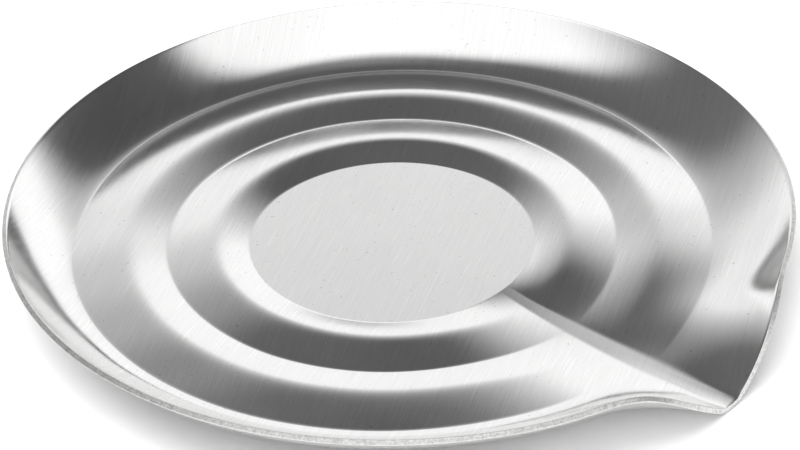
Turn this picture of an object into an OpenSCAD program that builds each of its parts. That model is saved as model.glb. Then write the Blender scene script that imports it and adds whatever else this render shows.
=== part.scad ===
// Pill counting tray: one round dish pressed from brushed steel sheet, with a flat
// centre, two raised rings, a flared rim and a pointed pouring spout.
// Origin: centre of the underside of the flat disc. +Z is up and the spout points along +X.

/* [Sheet] */
// Thickness of the steel sheet
sheet_t = 1.0; // [0.6:0.1:1.5]

/* [Rings] */
// Radius of the flat disc in the middle, out to its crease
disc_r = 25.3; // [20:0.1:30]
// Radius of the crease between the two raised rings
valley_r = 40; // [36:0.5:44]
// Radius of the crease where the rim starts
rim_start_r = 57; // [52:0.5:62]
// Height of the inner ring before its crest is rounded
inner_ring_h = 1.9; // [1:0.1:3]
// Height of the outer ring before its crest is rounded
outer_ring_h = 1.7; // [0.8:0.05:3]
// Share of a ring's width that lies inside its crest
crest_share = 0.4; // [0.3:0.05:0.6]
// How much of a ring's height the rounding of its crest takes
crest_round = 0.35; // [0.1:0.05:0.8]

/* [Rim] */
// Radius of the circle that the rim is trimmed to
rim_r = 69.4; // [66:0.1:84]
// How far the rim's circle lies off the rings' centre, towards the spout and across it
rim_shift = [2, -0.2]; // [-3:0.1:3]
// Height of the rim's edge above the creases
rim_h = 8.6; // [4:0.1:12]
// How strongly the rim curves up: 1 is a straight cone
rim_curve = 1.75; // [1:0.05:2.5]

/* [Spout] */
// How far the tip of the spout reaches past the round rim
spout_reach = 3.1; // [2:0.1:12]
// Angle from the spout's middle over which its outline swells
spout_spread = 16.3; // [14:0.1:22]
// How squarely the outline of the spout swells: 2 is a soft bump, 4 has clear shoulders
spout_shoulder = 3.6; // [2:0.1:4]
// Angle from the spout's middle to the top of the pouring channel's wall, inside the dish
channel_angle = 28.5; // [24:0.5:36]
// The same angle at the edge, where the channel is narrower
mouth_angle = 15.5; // [11:0.5:24]
// Radius at which the channel starts to grow narrower
narrow_r = 46; // [40:1:60]
// Height of the channel's floor at the tip, above the creases; below zero the floor sinks
tip_h = -3.6; // [-5:0.1:3]
// How far out from the flat disc the channel's floor does most of its sinking
sink_reach = 20; // [12:1:40]
// Height that the two lips beside the spout add to the rim
lip_h = 2.3; // [0:0.1:4]
// Angle from the spout's middle at which a lip is highest
lip_angle = 14; // [12:0.2:20]
// Angle over which a lip fades out
lip_spread = 8; // [6:0.1:12]
// Radius at which the lips start to rise out of the dish
lip_start_r = 48; // [40:1:54]

/* [Mesh] */
// Angle between two cuts through the spout
fine_step = 2; // [2:0.5:4]
// Angle between two cuts through the rest of the dish
coarse_step = 4; // [3.5:0.5:6]
// Cuts across each ring and across the rim
ring_steps = 8; // [6:1:8]

/* [Hidden] */
// Angle on each side of the spout that is cut finely, a whole number of coarse steps from 180
fine_angle = 180 - coarse_step * floor((180 - channel_angle - 8) / coarse_step);
// Angle that the channel's fold is rounded over, and the softness of its shoulders
fold_angle = 0.7;
shoulder_soft = 0.5;
lip_growth = 1.6;
tip_r = rim_r + rim_shift.x + spout_reach;

// The smaller of two values, with the corner between them rounded by k
function soft_min(a, b, k) = (a + b - sqrt((a - b) ^ 2 + k ^ 2)) / 2;
function bell(x) = exp(-x ^ 2);

// Radius of the trimmed edge at an angle
function edge_r(angle) =
    let (along = rim_shift.x * cos(angle) + rim_shift.y * sin(angle),
         across = rim_shift.x * sin(angle) - rim_shift.y * cos(angle))
    along + sqrt(rim_r ^ 2 - across ^ 2)
        + spout_reach * exp(-(abs(angle) / spout_spread) ^ spout_shoulder);

// 0 on the spout's middle line, 1 where the channel has faded out
function outside_channel(angle, r) =
    let (narrowed = max(0, (r - narrow_r) / (edge_r(angle) - narrow_r)),
         wide = channel_angle + (mouth_angle - channel_angle) * narrowed ^ 1.5,
         s = (sqrt(angle ^ 2 + fold_angle ^ 2) - fold_angle) / wide)
    min(1, max(0, soft_min(s, 1, shoulder_soft)));

// Height of a raised ring between two creases
function ring(r, inner_r, outer_r, h) =
    let (crest_r = inner_r + crest_share * (outer_r - inner_r))
    max(0, soft_min(h * (r - inner_r) / (crest_r - inner_r),
                    h * (outer_r - r) / (outer_r - crest_r), crest_round * h));

// Height of the round dish without its spout, s being how far r is across the rim
function dish(r, s) =
    r <= valley_r ? ring(r, disc_r, valley_r, inner_ring_h)
    : r <= rim_start_r ? ring(r, valley_r, rim_start_r, outer_ring_h)
    : rim_h * (0.15 * s + 0.85 * max(0, s) ^ rim_curve);

// Height of the channel's floor
function channel(r) =
    tip_h * (1 - exp(-max(0, r - disc_r) / sink_reach)) / (1 - exp(-(tip_r - disc_r) / sink_reach));

// Height of a lip beside the spout, which grows towards the edge
function lip(angle, r) =
    lip_h * bell((abs(angle) - lip_angle) / lip_spread)
    * max(0, (r - lip_start_r) / (edge_r(angle) - lip_start_r)) ^ lip_growth;

// A point of the upper surface at an angle and a radius
function upper(angle, r) =
    let (s = (r - rim_start_r) / (edge_r(angle) - rim_start_r), keep = outside_channel(angle, r))
    [r * cos(angle), r * sin(angle),
     sheet_t + keep * dish(r, s) + (1 - keep) * channel(r) + lip(angle, r)];

// The point of the underside below it, one sheet thickness away along the surface's normal
function under(angle, r) =
    let (d = 0.3,
         n = cross(upper(angle, r + d) - upper(angle, r - d),
                   upper(angle + d, r) - upper(angle - d, r)))
    upper(angle, r) - sheet_t * (r <= disc_r ? [0, 0, 1] : n / norm(n));

angles = concat(
    [for (a = [-fine_angle : fine_step : fine_angle - 0.01]) a],
    [for (a = [fine_angle : coarse_step : 360 - fine_angle - 0.01]) a > 180 ? a - 360 : a]);

// Radii of the cuts at an angle, from the flat disc's crease to the edge
function radii(angle) = concat(
    [for (i = [0 : ring_steps - 1]) disc_r + (valley_r - disc_r) * i / ring_steps],
    [for (i = [0 : ring_steps - 1]) valley_r + (rim_start_r - valley_r) * i / ring_steps],
    [for (i = [0 : ring_steps]) rim_start_r + (edge_r(angle) - rim_start_r) * i / ring_steps]);

module tray() {
    cuts = len(angles);
    rings = 3 * ring_steps + 1;
    points = concat(
        [for (a = angles, r = radii(a)) upper(a, r)],
        [for (a = angles, r = radii(a)) under(a, r)]);
    // Index of a point: side 0 is the upper surface and side 1 is the underside
    function at(side, cut, ring) = (side * cuts + cut % cuts) * rings + ring;
    disc_top = [[for (c = [cuts - 1 : -1 : 0]) at(0, c, 0)]];
    disc_under = [[for (c = [0 : cuts - 1]) at(1, c, 0)]];
    top = [for (c = [0 : cuts - 1], k = [0 : rings - 2])
        each [[at(0, c, k), at(0, c + 1, k), at(0, c + 1, k + 1)],
              [at(0, c, k), at(0, c + 1, k + 1), at(0, c, k + 1)]]];
    bottom = [for (c = [0 : cuts - 1], k = [0 : rings - 2])
        each [[at(1, c, k), at(1, c + 1, k + 1), at(1, c + 1, k)],
              [at(1, c, k), at(1, c, k + 1), at(1, c + 1, k + 1)]]];
    edge = [for (c = [0 : cuts - 1])
        each [[at(0, c, rings - 1), at(0, c + 1, rings - 1), at(1, c + 1, rings - 1)],
              [at(0, c, rings - 1), at(1, c + 1, rings - 1), at(1, c, rings - 1)]]];
    color([0.78, 0.79, 0.78])
        polyhedron(points, concat(disc_top, disc_under, top, bottom, edge));
}

tray();
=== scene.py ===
"""Pill counting tray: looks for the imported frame, in metres, with the spout along +X."""
import math

import bpy
import numpy as np
from mathutils import Matrix, Vector


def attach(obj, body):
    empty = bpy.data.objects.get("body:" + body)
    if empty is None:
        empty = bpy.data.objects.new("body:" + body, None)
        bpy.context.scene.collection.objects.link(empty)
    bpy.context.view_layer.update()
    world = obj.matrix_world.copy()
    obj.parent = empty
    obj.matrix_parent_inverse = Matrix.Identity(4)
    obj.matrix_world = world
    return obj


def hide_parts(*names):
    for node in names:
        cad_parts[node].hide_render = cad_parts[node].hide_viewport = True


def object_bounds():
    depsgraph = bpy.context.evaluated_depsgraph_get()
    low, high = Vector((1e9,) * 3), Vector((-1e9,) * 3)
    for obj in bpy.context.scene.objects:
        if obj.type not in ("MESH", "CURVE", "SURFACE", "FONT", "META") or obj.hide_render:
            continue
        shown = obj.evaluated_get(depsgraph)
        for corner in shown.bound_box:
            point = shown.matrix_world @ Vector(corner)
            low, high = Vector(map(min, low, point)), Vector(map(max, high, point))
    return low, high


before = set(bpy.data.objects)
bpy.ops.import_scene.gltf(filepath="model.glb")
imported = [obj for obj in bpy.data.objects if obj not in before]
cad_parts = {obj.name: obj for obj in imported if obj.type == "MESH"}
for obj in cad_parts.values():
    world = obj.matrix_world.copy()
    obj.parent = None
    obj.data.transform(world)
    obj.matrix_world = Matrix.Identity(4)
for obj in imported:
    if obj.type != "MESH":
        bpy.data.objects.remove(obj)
cad_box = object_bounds()
MM = 0.001

# ---------------------------------------------------------------- sizes of the tray, mm
SHEET_T = 1.0
DISC_R = 25.3
VALLEY_R = 40.0
RIM_START_R = 57.0
INNER_RING_H = 1.9
OUTER_RING_H = 1.7
CREST_SHARE = 0.4
CREST_ROUND = 0.35
RIM_R = 69.4
RIM_SHIFT = (2.0, -0.2)
RIM_H = 8.6
RIM_CURVE = 1.75
SPOUT_REACH = 3.1
SPOUT_SPREAD = 16.3
SPOUT_SHOULDER = 3.6
CHANNEL_ANGLE = 28.5
MOUTH_ANGLE = 15.5
NARROW_R = 46.0
TIP_H = -3.6
SINK_REACH = 20.0
LIP_H = 2.3
LIP_ANGLE = 14.0
LIP_SPREAD = 8.0
LIP_START_R = 48.0
LIP_GROWTH = 1.6
FOLD_ANGLE = 0.7
SHOULDER_SOFT = 0.5
TIP_R = RIM_R + RIM_SHIFT[0] + SPOUT_REACH
CORNER_R = 0.10      # rounding of the sheet's cut corners
WARP_H = 0.02        # height of the sheet's faint unevenness
GRAIN_ANGLE = 112.5  # direction of the brushed grain, degrees from the spout

# ---------------------------------------------------------------- mesh density
CUTS = 600
RING_STEPS = 30
RIM_STEPS = 34
CREASE_GAP = 0.12    # mm, the width that a pressed crease turns over


# ================================================================ the pressed surface
def soft_min(a, b, k):
    return (a + b - np.sqrt((a - b) ** 2 + k ** 2)) / 2


def bell(x):
    return np.exp(-x ** 2)


def edge_r(angle):
    """Radius of the trimmed edge at an angle in degrees."""
    c, s = np.cos(np.radians(angle)), np.sin(np.radians(angle))
    along = RIM_SHIFT[0] * c + RIM_SHIFT[1] * s
    across = RIM_SHIFT[0] * s - RIM_SHIFT[1] * c
    return (along + np.sqrt(RIM_R ** 2 - across ** 2)
            + SPOUT_REACH * np.exp(-(np.abs(angle) / SPOUT_SPREAD) ** SPOUT_SHOULDER))


def outside_channel(angle, r):
    """0 on the spout's middle line, 1 where the pouring channel has faded out."""
    narrowed = np.maximum(0, (r - NARROW_R) / (edge_r(angle) - NARROW_R))
    wide = CHANNEL_ANGLE + (MOUTH_ANGLE - CHANNEL_ANGLE) * narrowed ** 1.5
    s = (np.sqrt(angle ** 2 + FOLD_ANGLE ** 2) - FOLD_ANGLE) / wide
    return np.clip(soft_min(s, 1.0, SHOULDER_SOFT), 0, 1)


def ring(r, inner_r, outer_r, h):
    crest_r = inner_r + CREST_SHARE * (outer_r - inner_r)
    rise = h * (r - inner_r) / (crest_r - inner_r)
    fall = h * (outer_r - r) / (outer_r - crest_r)
    return np.maximum(0, soft_min(rise, fall, CREST_ROUND * h))


def upper(angle, r):
    """Points of the upper surface, mm, for arrays of angles in degrees and radii."""
    s = np.maximum(0, (r - RIM_START_R) / (edge_r(angle) - RIM_START_R))
    keep = outside_channel(angle, r)
    dish = np.where(
        r <= VALLEY_R, ring(r, DISC_R, VALLEY_R, INNER_RING_H),
        np.where(r <= RIM_START_R, ring(r, VALLEY_R, RIM_START_R, OUTER_RING_H),
                 RIM_H * (0.15 * s + 0.85 * s ** RIM_CURVE)))
    channel = (TIP_H * (1 - np.exp(-np.maximum(0, r - DISC_R) / SINK_REACH))
               / (1 - math.exp(-(TIP_R - DISC_R) / SINK_REACH)))
    grown = np.maximum(0, (r - LIP_START_R) / (edge_r(angle) - LIP_START_R)) ** LIP_GROWTH
    lip = LIP_H * bell((np.abs(angle) - LIP_ANGLE) / LIP_SPREAD) * grown
    x, y = r * np.cos(np.radians(angle)), r * np.sin(np.radians(angle))
    fade = np.clip((r - DISC_R) / 6, 0, 1) * np.clip((edge_r(angle) - r) / 6, 0, 1)
    warp = WARP_H * fade * (np.sin(x / 5.3 + 1) * np.sin(y / 6.1) + 0.6 * np.sin(x / 3.1 - y / 4.3))
    return np.stack([x, y, SHEET_T + keep * dish + (1 - keep) * channel + lip + warp], -1)


def normals(angle, r):
    """Unit normals of the upper surface, pointing up."""
    d = CREASE_GAP / 2
    n = np.cross(upper(angle, r + d) - upper(angle, r - d), upper(angle + d, r) - upper(angle - d, r))
    n = np.where(r[..., None] <= DISC_R, np.array([0.0, 0.0, 1.0]), n)
    return n / np.linalg.norm(n, axis=-1, keepdims=True)


def crease_steps(start, stop, steps):
    """Radii from one crease to the next, with a close row beside each crease."""
    inner = np.linspace(start, stop, steps + 1)[1:-1]
    return np.concatenate([[start, start + CREASE_GAP], inner, [stop - CREASE_GAP]])


def shares():
    """Radii inside the rim, and shares of the way across the rim, for every row of the mesh."""
    flat = np.linspace(3, DISC_R - CREASE_GAP, 10)
    inside = np.concatenate([flat, crease_steps(DISC_R, VALLEY_R, RING_STEPS),
                             crease_steps(VALLEY_R, RIM_START_R, RING_STEPS)])
    return inside, np.concatenate([[0, 0.01], np.linspace(0, 1, RIM_STEPS + 1)[1:]])


def sheet_points():
    """Rows of points round the sheet's section: up the top, round the cut edge, back underneath."""
    angle = np.linspace(-180, 180, CUTS, endpoint=False)
    inside, across = shares()
    edge = edge_r(angle) - CORNER_R
    radii = [np.full(CUTS, r) for r in inside] + [RIM_START_R + t * (edge - RIM_START_R) for t in across]
    top = [upper(angle, r) for r in radii]
    under = [upper(angle, r) - SHEET_T * normals(angle, r) for r in radii]
    # the cut edge, square to the sheet, with rounded corners and a ragged fracture band
    n = normals(angle, edge)
    along = np.stack([-np.sin(np.radians(angle)), np.cos(np.radians(angle)), 0 * angle], -1)
    swell = (edge_r(angle + 0.2) - edge_r(angle - 0.2)) / np.radians(0.4)
    out_flat = np.stack([np.cos(np.radians(angle)), np.sin(np.radians(angle)), 0 * angle], -1)
    along = along * edge_r(angle)[:, None] + out_flat * swell[:, None]
    rise = (top_edge(angle + 0.2) - top_edge(angle - 0.2)) / np.radians(0.4)
    along[:, 2] = rise
    out = np.cross(along, n)
    out /= np.linalg.norm(out, axis=-1, keepdims=True)
    rng = np.random.default_rng(7)
    band = []
    for turn in (30, 60, 90):
        a = math.radians(turn)
        band.append(top[-1] + CORNER_R * (math.sin(a) * out - (1 - math.cos(a)) * n))
    for depth in (0.22, 0.34, 0.46, 0.58, 0.70, 0.82):
        ragged = rng.normal(0, 0.016, CUTS)[:, None] if depth > 0.3 else 0
        band.append(top[-1] + (CORNER_R + ragged) * out - depth * SHEET_T * n)
    for turn in (0, 45):
        a = math.radians(turn)
        band.append(under[-1] + CORNER_R * (math.cos(a) * out + (1 - math.sin(a)) * n))
    return top, band, under[::-1]


def top_edge(angle):
    return upper(angle, edge_r(angle) - CORNER_R)[:, 2]


def build_tray():
    top, band, under = sheet_points()
    rows = top + band + under
    centre_top = np.array([[0, 0, SHEET_T]])
    centre_under = np.array([[0, 0, 0.0]])
    verts = np.concatenate([np.concatenate(rows), centre_top, centre_under]) * MM
    last = len(rows) * CUTS
    i = np.arange(CUTS)
    j = (i + 1) % CUTS
    faces = []
    for k in range(len(rows) - 1):
        faces += np.stack([k * CUTS + i, (k + 1) * CUTS + i, (k + 1) * CUTS + j, k * CUTS + j], 1).tolist()
    faces += np.stack([np.full(CUTS, last), i, j], 1).tolist()
    low = (len(rows) - 1) * CUTS
    faces += np.stack([np.full(CUTS, last + 1), low + j, low + i], 1).tolist()
    mesh = bpy.data.meshes.new("pressed_sheet")
    mesh.from_pydata(verts.tolist(), [], faces)
    mesh.validate()
    mesh.update()
    first = (len(top) + 1) * CUTS
    stop = (len(top) + len(band) - 1) * CUTS
    slots = np.zeros(len(mesh.polygons), dtype=np.int32)
    slots[first:stop] = 1
    mesh.materials.append(brushed_steel())
    mesh.materials.append(cut_edge())
    mesh.polygons.foreach_set("material_index", slots)
    mesh.polygons.foreach_set("use_smooth", np.ones(len(mesh.polygons), dtype=bool))
    tray = bpy.data.objects.new("pressed_sheet", mesh)
    bpy.context.collection.objects.link(tray)
    return tray


# ================================================================ materials
class Nodes:
    """Short calls that add shader nodes to one material or world."""

    def __init__(self, tree):
        self.tree = tree

    def add(self, kind, inputs=None, **settings):
        node = self.tree.nodes.new(kind)
        for key, value in settings.items():
            setattr(node, key, value)
        for key, value in (inputs or {}).items():
            if isinstance(value, bpy.types.NodeSocket):
                self.tree.links.new(value, node.inputs[key])
            else:
                node.inputs[key].default_value = value
        return node

    def math(self, operation, a, b=0.0, clamp=False):
        return self.add("ShaderNodeMath", {0: a, 1: b}, operation=operation, use_clamp=clamp).outputs[0]

    def span(self, value, low, high, to_low=0.0, to_high=1.0):
        """Maps a value from one span to another, with clamped ends."""
        node = self.add("ShaderNodeMapRange", {"Value": value, "From Min": low, "From Max": high,
                                               "To Min": to_low, "To Max": to_high},
                        interpolation_type="SMOOTHSTEP")
        return node.outputs["Result"]

    def noise(self, vector, scale, detail=2.0, roughness=0.5):
        return self.add("ShaderNodeTexNoise", {"Vector": vector, "Scale": scale, "Detail": detail,
                                               "Roughness": roughness}).outputs["Fac"]

    def mix(self, factor, a, b):
        node = self.add("ShaderNodeMix", data_type="RGBA")
        for key, value in (("Factor", factor), ("A", a), ("B", b)):
            socket = next(s for s in node.inputs if s.name == key and s.enabled)
            if isinstance(value, bpy.types.NodeSocket):
                self.tree.links.new(value, socket)
            else:
                socket.default_value = value
        return next(s for s in node.outputs if s.enabled)


def new_material(name):
    material = bpy.data.materials.new(name)
    material.use_nodes = True
    nodes = Nodes(material.node_tree)
    return material, nodes, material.node_tree.nodes["Principled BSDF"]


def grain_space(nodes, along, across):
    """Object space turned so that X runs along the grain, flattened in Z, in cells per metre."""
    place = nodes.add("ShaderNodeTexCoord").outputs["Object"]
    turn = (0, 0, -math.radians(GRAIN_ANGLE))
    turned = nodes.add("ShaderNodeMapping", {"Vector": place, "Rotation": turn}).outputs[0]
    return nodes.add("ShaderNodeMapping", {"Vector": turned, "Scale": (along, across, 0.0)}).outputs[0]


def brushed_steel():
    material, nodes, shader = new_material("brushed_steel")
    fine = nodes.noise(grain_space(nodes, 130, 5200), 1.0, 1.0)
    coarse = nodes.noise(grain_space(nodes, 60, 1500), 1.0, 3.0, 0.6)
    lone = nodes.noise(grain_space(nodes, 90, 2600), 1.0, 0.0)
    scratch = nodes.span(lone, 0.66, 0.74)
    place = nodes.add("ShaderNodeTexCoord").outputs["Object"]
    smudge = nodes.noise(place, 38.0, 4.0, 0.6)
    speck = nodes.span(nodes.noise(place, 1500.0, 1.0), 0.72, 0.78)
    streaks = nodes.math("ADD", nodes.math("MULTIPLY", fine, 0.6), nodes.math("MULTIPLY", coarse, 0.4))
    tone = nodes.span(streaks, 0.34, 0.66)
    colour = nodes.mix(tone, (0.77, 0.775, 0.77, 1), (0.82, 0.82, 0.815, 1))
    colour = nodes.mix(nodes.math("MULTIPLY", scratch, 0.3), colour, (0.93, 0.93, 0.92, 1))
    colour = nodes.mix(nodes.math("MULTIPLY", speck, 0.4), colour, (0.30, 0.31, 0.30, 1))
    rough = nodes.math("ADD", nodes.span(smudge, 0.3, 0.7, 0.10, 0.16),
                       nodes.math("MULTIPLY", streaks, 0.05))
    height = nodes.math("SUBTRACT", nodes.math("ADD", streaks, nodes.math("MULTIPLY", scratch, 0.4)),
                        nodes.math("MULTIPLY", speck, 0.8))
    bump = nodes.add("ShaderNodeBump", {"Strength": 0.09, "Distance": 0.00002, "Height": height})
    links = material.node_tree.links
    links.new(colour, shader.inputs["Base Color"])
    links.new(rough, shader.inputs["Roughness"])
    links.new(bump.outputs[0], shader.inputs["Normal"])
    shader.inputs["Metallic"].default_value = 1.0
    return material


def cut_edge():
    material, nodes, shader = new_material("cut_edge")
    place = nodes.add("ShaderNodeTexCoord").outputs["Object"]
    grit = nodes.noise(place, 2600.0, 3.0, 0.7)
    pits = nodes.span(nodes.noise(place, 1100.0, 2.0), 0.52, 0.66)
    colour = nodes.mix(nodes.span(grit, 0.35, 0.65), (0.55, 0.55, 0.54, 1), (0.76, 0.76, 0.75, 1))
    colour = nodes.mix(nodes.math("MULTIPLY", pits, 0.35), colour, (0.34, 0.34, 0.335, 1))
    height = nodes.math("SUBTRACT", grit, pits)
    bump = nodes.add("ShaderNodeBump", {"Strength": 0.25, "Distance": 0.00006, "Height": height})
    links = material.node_tree.links
    links.new(colour, shader.inputs["Base Color"])
    links.new(bump.outputs[0], shader.inputs["Normal"])
    shader.inputs["Metallic"].default_value = 1.0
    shader.inputs["Roughness"].default_value = 0.5
    return material


def floor_material():
    material, nodes, shader = new_material("pale_floor")
    shader.inputs["Base Color"].default_value = (0.93, 0.93, 0.93, 1)
    shader.inputs["Roughness"].default_value = 0.9
    shader.inputs["Specular IOR Level"].default_value = 0.0
    return material


# ================================================================ camera, floor and light
CAMERA_AT = Vector((0.4628, -0.5429, 0.4829))
CAMERA_TARGET = Vector((-0.00197, 0.00469, 0.001))
CAMERA_ROLL = -2.08
CAMERA_LENS = 217.7
FLOOR_SIZE = 12
FLOOR_GAP = 0.0002   # how far the floor lies below the tray's lowest point

# The studio. Distances are on the flat disc that add_world() describes.
SWEEP_LIGHT = 1.03
SWEEP_START = 0.34          # where the sweep starts to rise out of the dark gap, ahead
SWEEP_RISE = 0.25           # how far it takes to reach full light, in the middle
SWEEP_SKEW = -0.14          # how that changes to the right
SWEEP_SIDES = (0.82, 1.15)  # its light on the left and on the right
HORIZON = (0.28, 0.10)      # heights between which the light round the horizon fades in
BOX_LIGHT = 1.12
BOX_EDGE = 0.03             # the softbox's far edge, ahead
BOX_SLANT = (-0.6, 0.12)    # slope and level of its slanted right side
BOX_SOFT = (-0.05, 0.09)    # how softly both start
BOX_LEFT = (-0.62, -0.30)   # where it fades out on the left
NOTCH_AT = 0.03             # middle of the notch in its far edge
NOTCH_WIDTH = 0.09
NOTCH_DEPTH = 0.05
GLOW_LIGHT = 0.16           # grey glow inside the notch
GLOW_SPAN = (0.22, 0.02)
ROOM_LIGHT = (0.15, 0.08)   # light of the dark room on the left and on the right


def add_camera():
    data = bpy.data.cameras.new("camera")
    data.lens = CAMERA_LENS
    data.sensor_width = 36
    data.clip_start = 0.01
    camera = bpy.data.objects.new("camera", data)
    look = (CAMERA_TARGET - CAMERA_AT).to_track_quat("-Z", "Y").to_matrix().to_4x4()
    roll = Matrix.Rotation(math.radians(CAMERA_ROLL), 4, "Z")
    camera.matrix_world = Matrix.Translation(CAMERA_AT) @ look @ roll
    bpy.context.collection.objects.link(camera)
    bpy.context.scene.camera = camera


def add_floor():
    bpy.ops.mesh.primitive_plane_add(size=FLOOR_SIZE, location=(0, 0, cad_box[0][2] - FLOOR_GAP))
    floor = bpy.context.object
    floor.name = "floor"
    floor.data.materials.append(floor_material())


def add_world():
    """A studio seen by the metal: a white sweep behind, a dark gap, and a softbox overhead.

    The sky is drawn on a flat disc with the zenith in its middle: across runs to the camera's right
    and ahead runs away from the camera, both as the tangent of half the angle from the zenith.
    """
    world = bpy.data.worlds.new("studio")
    bpy.context.scene.world = world
    world.use_nodes = True
    nodes = Nodes(world.node_tree)
    way = nodes.add("ShaderNodeTexCoord").outputs["Generated"]
    ahead_axis = Vector((-CAMERA_AT.x, -CAMERA_AT.y, 0)).normalized()
    across_axis = Vector((ahead_axis.y, -ahead_axis.x, 0))
    height = nodes.add("ShaderNodeSeparateXYZ", {0: way}).outputs["Z"]
    shrink = nodes.math("MAXIMUM", nodes.math("ADD", height, 1.0), 0.05)

    def disc(axis):
        dot = nodes.add("ShaderNodeVectorMath", {0: way, 1: axis}, operation="DOT_PRODUCT").outputs["Value"]
        return nodes.math("DIVIDE", dot, shrink)

    across, ahead = disc(across_axis), disc(ahead_axis)

    # the sweep rises out of the dark gap, faster and brighter on the right
    rise = nodes.math("ADD", nodes.math("MULTIPLY", across, SWEEP_SKEW), SWEEP_RISE)
    far = nodes.math("DIVIDE", nodes.math("SUBTRACT", ahead, SWEEP_START), rise, clamp=True)
    far = nodes.math("MULTIPLY", far, nodes.span(across, -0.5, 0.5, *SWEEP_SIDES))
    sweep = nodes.math("MAXIMUM", far, nodes.span(height, *HORIZON))
    # the softbox overhead, with a slanted right side and a soft notch in its far edge
    aside = nodes.math("DIVIDE", nodes.math("SUBTRACT", across, NOTCH_AT), NOTCH_WIDTH)
    notch = nodes.math("POWER", math.e, nodes.math("MULTIPLY", nodes.math("MULTIPLY", aside, aside), -1.0))
    level = nodes.math("SUBTRACT", BOX_EDGE, nodes.math("MULTIPLY", notch, NOTCH_DEPTH))
    slant = nodes.math("ADD", nodes.math("MULTIPLY", across, BOX_SLANT[0]), BOX_SLANT[1])
    inside = nodes.math("SUBTRACT", nodes.math("MINIMUM", level, slant), ahead)
    box = nodes.math("MULTIPLY", nodes.span(inside, *BOX_SOFT), nodes.span(across, *BOX_LEFT))
    glow = nodes.math("MULTIPLY", nodes.span(ahead, *GLOW_SPAN), notch)
    glow = nodes.math("MULTIPLY", glow, GLOW_LIGHT)
    room = nodes.span(across, -0.4, 0.4, *ROOM_LIGHT)
    strength = nodes.math("ADD", nodes.math("MULTIPLY", sweep, SWEEP_LIGHT),
                          nodes.math("MULTIPLY", box, BOX_LIGHT))
    strength = nodes.math("ADD", nodes.math("ADD", strength, glow), room)
    background = world.node_tree.nodes["Background"]
    background.inputs["Color"].default_value = (1, 1, 1, 1)
    world.node_tree.links.new(strength, background.inputs["Strength"])


def add_floor_light():
    """A high soft lamp for the floor only; the metal doesn't mirror it."""
    data = bpy.data.lights.new("floor_light", "SUN")
    data.energy = 2.6
    data.angle = math.radians(60)
    light = bpy.data.objects.new("floor_light", data)
    light.rotation_euler = (math.radians(8), math.radians(-10), 0)
    light.visible_glossy = False
    bpy.context.collection.objects.link(light)


# ================================================================ the scene
bpy.context.scene.view_settings.view_transform = "Standard"
add_camera()
add_floor()
add_world()
add_floor_light()

tray = build_tray()
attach(tray, "root")
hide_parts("tray")
